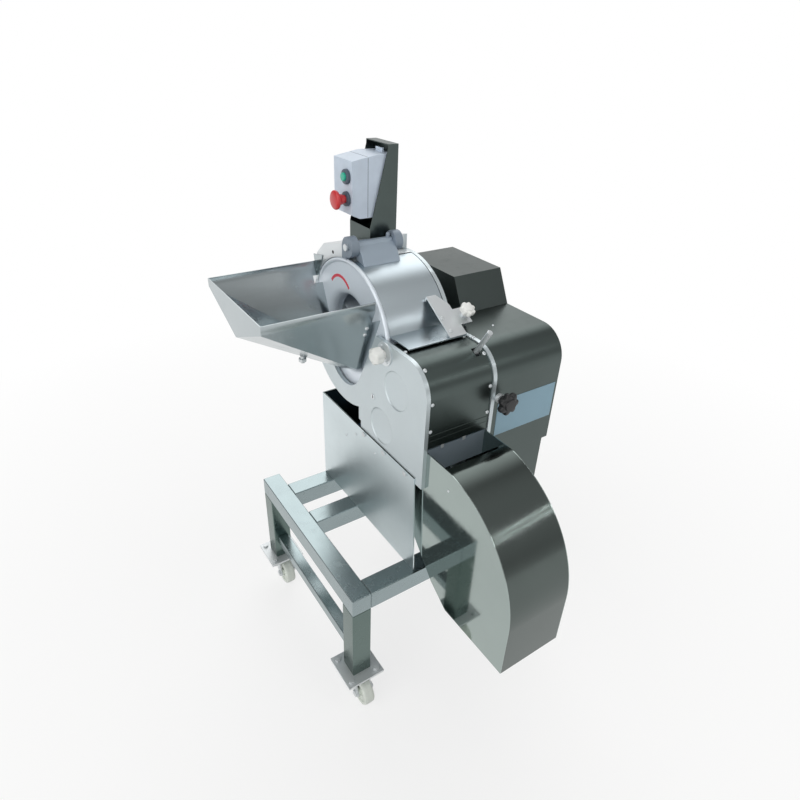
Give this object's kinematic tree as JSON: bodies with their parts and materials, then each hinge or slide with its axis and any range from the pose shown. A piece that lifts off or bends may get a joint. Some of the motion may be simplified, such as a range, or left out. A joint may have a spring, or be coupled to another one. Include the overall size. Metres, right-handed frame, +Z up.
{
  "type": "vegetable dicer",
  "caption": "Floor-standing vegetable dicer on castors with side feed hopper, drum slicer under a hinged cover, knife spindles, belt drive casing, curved discharge chute and control post.",
  "frame": {"origin": "centre of the outline on the floor, under the castors", "axes": "+X along the drum axis from the hopper to the drive casing, -Y towards the discharge chute, +Z up"},
  "size_m": [0.671, 0.843, 1.277],
  "materials": {
    "frame_steel": "satin",
    "pedestal_steel": "brushed",
    "polished_steel": "polished",
    "bright_steel": "polished",
    "cast_grey": "matte",
    "hinge_grey": "satin",
    "zinc": "zinc plated",
    "knife_steel": "ground",
    "bearing_iron": "cast",
    "nylon": "matte",
    "white_plastic": "gloss",
    "black_plastic": "matte",
    "box_plastic": "matte",
    "collar_plastic": "matte",
    "green_plastic": "gloss",
    "red_plastic": "gloss",
    "belt_rubber": "matte",
    "motor_paint": "satin"
  },
  "bodies": {
    "base": {"base_frame": "frame_steel", "foot_plates": "frame_steel", "caster_heads": "zinc", "caster_bolts": "zinc", "pedestal": "pedestal_steel", "front_plate": "cast_grey", "back_plate": "cast_grey", "plate_bolts": "zinc", "drum_shell": "bright_steel", "feed_ring": "bright_steel", "feed_neck": "bright_steel", "roof": "bright_steel", "hinge_knuckles": "hinge_grey", "hinge_pin": "zinc", "lower_guard": "polished_steel", "sheet_screws": "zinc", "slicing_knife": "knife_steel", "knife_holder": "bright_steel", "hopper": "polished_steel", "hopper_stud": "zinc", "knob_flange": "bright_steel", "side_knob_collar": "zinc", "main_bearing": "bearing_iron", "spindle_bearings": "bearing_iron", "belts": "belt_rubber", "motor": "motor_paint", "motor_plate": "frame_steel", "drive_casing": "polished_steel", "hood": "polished_steel", "chute_sides": "polished_steel", "chute_back": "polished_steel", "control_post": "polished_steel", "control_box": "box_plastic", "button_collars": "collar_plastic", "cable_gland": "black_plastic"},
    "cover": {"drum_cover": "polished_steel", "hinge_barrel": "hinge_grey", "latch_bracket": "bright_steel"},
    "clamp": {"clamp_knob": "white_plastic"},
    "impeller": {"impeller": "bright_steel", "main_shaft": "bright_steel", "main_pulleys": "bearing_iron"},
    "crosscut": {"crosscut_spindle": "bright_steel", "crosscut_knives": "knife_steel"},
    "circular": {"circular_spindle": "bright_steel", "circular_knives": "knife_steel"},
    "motor_rotor": {"motor_pulley": "bearing_iron"},
    "gate": {"thickness_gate": "bright_steel"},
    "front_knob": {"front_knob": "white_plastic"},
    "side_knob": {"side_knob": "black_plastic"},
    "start": {"start_button": "green_plastic"},
    "stop": {"stop_button": "red_plastic"},
    "fork_fl": {"caster_fork_fl": "zinc"},
    "wheel_fl": {"caster_wheel_fl": "nylon"},
    "fork_bl": {"caster_fork_bl": "zinc"},
    "wheel_bl": {"caster_wheel_bl": "nylon"},
    "fork_fr": {"caster_fork_fr": "zinc"},
    "wheel_fr": {"caster_wheel_fr": "nylon"},
    "fork_br": {"caster_fork_br": "zinc"},
    "wheel_br": {"caster_wheel_br": "nylon"}
  },
  "joints": [
    {"name": "cover_hinge", "type": "hinge", "parent": "base", "child": "cover", "pos_m": [0.0005, 0.2165, 1.075], "axis": [-1, 0, 0], "range_deg": [0, 100]},
    {"name": "clamp_turn", "type": "hinge", "parent": "cover", "child": "clamp", "pos_m": [0.1205, 0.01611, 0.95241], "axis": [0, -0.5299, 0.848], "continuous": true},
    {"name": "impeller_spin", "type": "hinge", "parent": "base", "child": "impeller", "pos_m": [0.0805, 0.2175, 0.866], "axis": [1, 0, 0], "continuous": true},
    {"name": "crosscut_spin", "type": "hinge", "parent": "base", "child": "crosscut", "pos_m": [0.0105, -0.0095, 0.823], "axis": [1, 0, 0], "continuous": true},
    {"name": "circular_spin", "type": "hinge", "parent": "base", "child": "circular", "pos_m": [0.0105, 0.0465, 0.701], "axis": [1, 0, 0], "continuous": true},
    {"name": "motor_spin", "type": "hinge", "parent": "base", "child": "motor_rotor", "pos_m": [0.1505, 0.2115, 0.505], "axis": [1, 0, 0], "continuous": true},
    {"name": "gate_tilt", "type": "hinge", "parent": "base", "child": "gate", "pos_m": [0.0205, -0.0565, 0.873], "axis": [1, 0, 0], "range_deg": [-3, 3]},
    {"name": "front_knob_turn", "type": "hinge", "parent": "base", "child": "front_knob", "pos_m": [-0.0895, 0.0365, 0.894], "axis": [1, 0, 0], "continuous": true},
    {"name": "side_knob_turn", "type": "hinge", "parent": "base", "child": "side_knob", "pos_m": [0.1225, -0.1435, 0.807], "axis": [0, 1, 0], "continuous": true},
    {"name": "start_press", "type": "slide", "parent": "base", "child": "start", "axis": [1, 0, 0], "range_m": [0, 0.005], "stiffness_N_per_m": 600},
    {"name": "stop_press", "type": "slide", "parent": "base", "child": "stop", "axis": [1, 0, 0], "range_m": [0, 0.005], "stiffness_N_per_m": 600},
    {"name": "swivel_fl", "type": "hinge", "parent": "base", "child": "fork_fl", "pos_m": [-0.2245, -0.0985, 0.085], "axis": [0, 0, 1], "continuous": true},
    {"name": "roll_fl", "type": "hinge", "parent": "fork_fl", "child": "wheel_fl", "pos_m": [-0.2245, -0.1285, 0.0375], "axis": [1, 0, 0], "continuous": true},
    {"name": "swivel_bl", "type": "hinge", "parent": "base", "child": "fork_bl", "pos_m": [-0.2245, 0.3715, 0.085], "axis": [0, 0, 1], "continuous": true},
    {"name": "roll_bl", "type": "hinge", "parent": "fork_bl", "child": "wheel_bl", "pos_m": [-0.2245, 0.3415, 0.0375], "axis": [1, 0, 0], "continuous": true},
    {"name": "swivel_fr", "type": "hinge", "parent": "base", "child": "fork_fr", "pos_m": [0.2855, -0.0985, 0.085], "axis": [0, 0, 1], "continuous": true},
    {"name": "roll_fr", "type": "hinge", "parent": "fork_fr", "child": "wheel_fr", "pos_m": [0.2855, -0.1285, 0.0375], "axis": [1, 0, 0], "continuous": true},
    {"name": "swivel_br", "type": "hinge", "parent": "base", "child": "fork_br", "pos_m": [0.2855, 0.3715, 0.085], "axis": [0, 0, 1], "continuous": true},
    {"name": "roll_br", "type": "hinge", "parent": "fork_br", "child": "wheel_br", "pos_m": [0.2855, 0.3415, 0.0375], "axis": [1, 0, 0], "continuous": true}
  ],
  "couplings": [
    {"joint": "crosscut_spin", "follows": "impeller_spin", "ratio": 1.2353},
    {"joint": "circular_spin", "follows": "impeller_spin", "ratio": 1.2353},
    {"joint": "motor_spin", "follows": "impeller_spin", "ratio": 2.4444}
  ]
}
